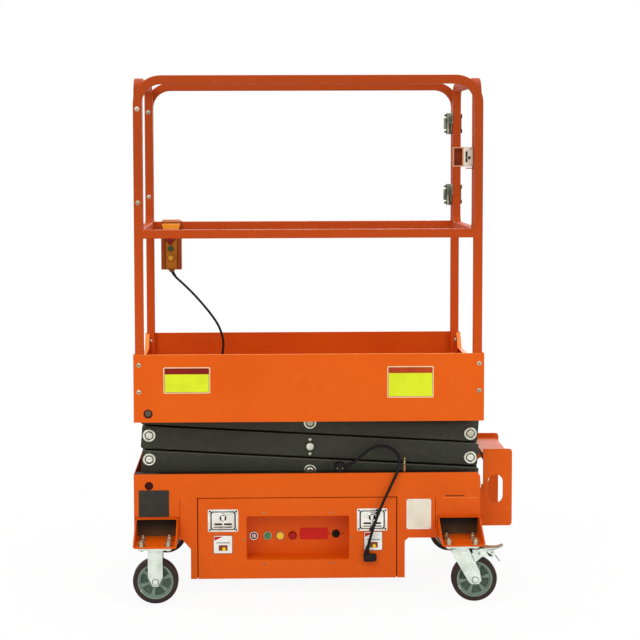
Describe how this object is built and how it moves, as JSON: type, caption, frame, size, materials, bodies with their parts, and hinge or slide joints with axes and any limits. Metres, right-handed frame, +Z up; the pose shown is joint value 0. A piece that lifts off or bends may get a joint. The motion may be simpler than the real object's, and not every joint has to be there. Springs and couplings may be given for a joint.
{
  "type": "scissor lift",
  "caption": "Push-around scissor work platform, folded, with guard rails and gate, pendant control, battery drawer, push handle and casters.",
  "frame": {"origin": "on the floor, under the middle of the bounding box", "axes": "+X towards the push-handle end, +Y away from the side with the drawer, +Z up"},
  "size_m": [1.344, 0.79, 1.817],
  "materials": {
    "orange_paint": "satin",
    "scissor_paint": "satin",
    "cylinder_paint": "satin",
    "zinc": "satin",
    "chrome": "polished",
    "latch_chrome": "polished",
    "brass": "satin",
    "tyre": "matte",
    "wheel_casting": "satin",
    "battery_case": "matte",
    "controls": "satin",
    "black_plastic": "matte",
    "black_rubber": "matte",
    "pendant_yellow": "satin"
  },
  "bodies": {
    "chassis": {"chassis_frame": "orange_paint", "track_channels": "orange_paint", "drop_box_walls": "orange_paint", "cross_beams": "orange_paint", "push_handle": "orange_paint", "lead_post": "brass", "fixed_forks": "zinc", "swivel_plates": "zinc"},
    "drawer": {"drawer_front": "orange_paint", "drawer_tray": "orange_paint", "power_pack": "battery_case", "drawer_latches": "latch_chrome", "panel_controls": "controls", "lead_outlet": "black_plastic", "mains_lead": "black_rubber", "mains_plug": "black_plastic"},
    "inner_1": {"inner_arms_1": "scissor_paint"},
    "inner_2": {"inner_arms_2": "scissor_paint"},
    "inner_3": {"inner_arms_3": "scissor_paint", "upper_rollers": "zinc"},
    "outer_1": {"outer_arms_1": "scissor_paint", "pins_1": "zinc"},
    "outer_2": {"outer_arms_2": "scissor_paint", "pins_2": "zinc"},
    "outer_3": {"outer_arms_3": "scissor_paint", "pins_3": "zinc"},
    "barrel": {"cylinder_barrel": "cylinder_paint"},
    "rod": {"cylinder_rod": "chrome"},
    "platform": {"deck": "orange_paint", "platform_tracks": "orange_paint", "toe_boards": "orange_paint", "guard_near": "orange_paint", "guard_far": "orange_paint", "end_loop": "orange_paint", "hinge_posts": "zinc", "pendant_holster": "orange_paint", "pendant": "pendant_yellow", "pendant_cord": "black_rubber"},
    "gate": {"gate_frame": "orange_paint", "gate_hinges": "zinc", "gate_latch": "zinc"},
    "swivel_near": {"swivel_fork_near": "zinc"},
    "swivel_far": {"swivel_fork_far": "zinc"},
    "wheel_fixed_near": {"tyre_fixed_near": "tyre", "rim_fixed_near": "wheel_casting"},
    "wheel_fixed_far": {"tyre_fixed_far": "tyre", "rim_fixed_far": "wheel_casting"},
    "wheel_swivel_near": {"tyre_swivel_near": "tyre", "rim_swivel_near": "wheel_casting"},
    "wheel_swivel_far": {"tyre_swivel_far": "tyre", "rim_swivel_far": "wheel_casting"}
  },
  "joints": [
    {"name": "lift", "type": "hinge", "parent": "chassis", "child": "inner_1", "pos_m": [-0.621, 0, 0.385], "axis": [0, -1, 0], "range_deg": [0, 43.8]},
    {"name": "outer_1_turn", "type": "hinge", "parent": "inner_1", "child": "outer_1", "pos_m": [-0.05263, 0, 0.4281], "axis": [0, -1, 0], "range_deg": [-88.1, 0]},
    {"name": "inner_2_turn", "type": "hinge", "parent": "outer_1", "child": "inner_2", "pos_m": [-0.621, 0, 0.4712], "axis": [0, -1, 0], "range_deg": [0, 88.1]},
    {"name": "outer_2_turn", "type": "hinge", "parent": "inner_2", "child": "outer_2", "pos_m": [-0.05263, 0, 0.5143], "axis": [0, -1, 0], "range_deg": [-88.1, 0]},
    {"name": "inner_3_turn", "type": "hinge", "parent": "outer_2", "child": "inner_3", "pos_m": [-0.621, 0, 0.5574], "axis": [0, -1, 0], "range_deg": [0, 88.1]},
    {"name": "outer_3_turn", "type": "hinge", "parent": "inner_3", "child": "outer_3", "pos_m": [-0.05263, 0, 0.6005], "axis": [0, -1, 0], "range_deg": [-88.1, 0]},
    {"name": "platform_turn", "type": "hinge", "parent": "outer_3", "child": "platform", "pos_m": [-0.621, 0, 0.6436], "axis": [0, -1, 0], "range_deg": [0, 44.3]},
    {"name": "cylinder_turn", "type": "hinge", "parent": "inner_1", "child": "barrel", "pos_m": [0.22884, 0, 0.41936], "axis": [0, -1, 0], "range_deg": [-86.31, 0]},
    {"name": "rod_slide", "type": "slide", "parent": "barrel", "child": "rod", "axis": [-0.9692, 0, 0.2462], "range_m": [0, 0.1453]},
    {"name": "gate_hinge", "type": "hinge", "parent": "platform", "child": "gate", "pos_m": [0.493, 0.283, 1.5], "axis": [0, 0, -1], "range_deg": [0, 90]},
    {"name": "drawer_slide", "type": "slide", "parent": "chassis", "child": "drawer", "axis": [0, -1, 0], "range_m": [0, 0.4]},
    {"name": "swivel_near_turn", "type": "hinge", "parent": "chassis", "child": "swivel_near", "pos_m": [0.4645, -0.345, 0.18], "axis": [0, 0, 1], "continuous": true},
    {"name": "wheel_swivel_near_spin", "type": "hinge", "parent": "swivel_near", "child": "wheel_swivel_near", "pos_m": [0.5105, -0.345, 0.0785], "axis": [0, 1, 0], "continuous": true},
    {"name": "wheel_fixed_near_spin", "type": "hinge", "parent": "chassis", "child": "wheel_fixed_near", "pos_m": [-0.5925, -0.345, 0.0785], "axis": [0, 1, 0], "continuous": true},
    {"name": "swivel_far_turn", "type": "hinge", "parent": "chassis", "child": "swivel_far", "pos_m": [0.4645, 0.345, 0.18], "axis": [0, 0, 1], "continuous": true},
    {"name": "wheel_swivel_far_spin", "type": "hinge", "parent": "swivel_far", "child": "wheel_swivel_far", "pos_m": [0.5105, 0.345, 0.0785], "axis": [0, 1, 0], "continuous": true},
    {"name": "wheel_fixed_far_spin", "type": "hinge", "parent": "chassis", "child": "wheel_fixed_far", "pos_m": [-0.5925, 0.345, 0.0785], "axis": [0, 1, 0], "continuous": true}
  ],
  "couplings": [
    {"joint": "outer_1_turn", "follows": "lift", "ratio": -2},
    {"joint": "inner_2_turn", "follows": "lift", "ratio": 2},
    {"joint": "outer_2_turn", "follows": "lift", "ratio": -2},
    {"joint": "inner_3_turn", "follows": "lift", "ratio": 2},
    {"joint": "outer_3_turn", "follows": "lift", "ratio": -2},
    {"joint": "platform_turn", "follows": "lift", "ratio": 1},
    {"joint": "cylinder_turn", "follows": "lift", "ratio": -1.9319},
    {"joint": "rod_slide", "follows": "lift", "m_per_rad": 0.1863}
  ]
}
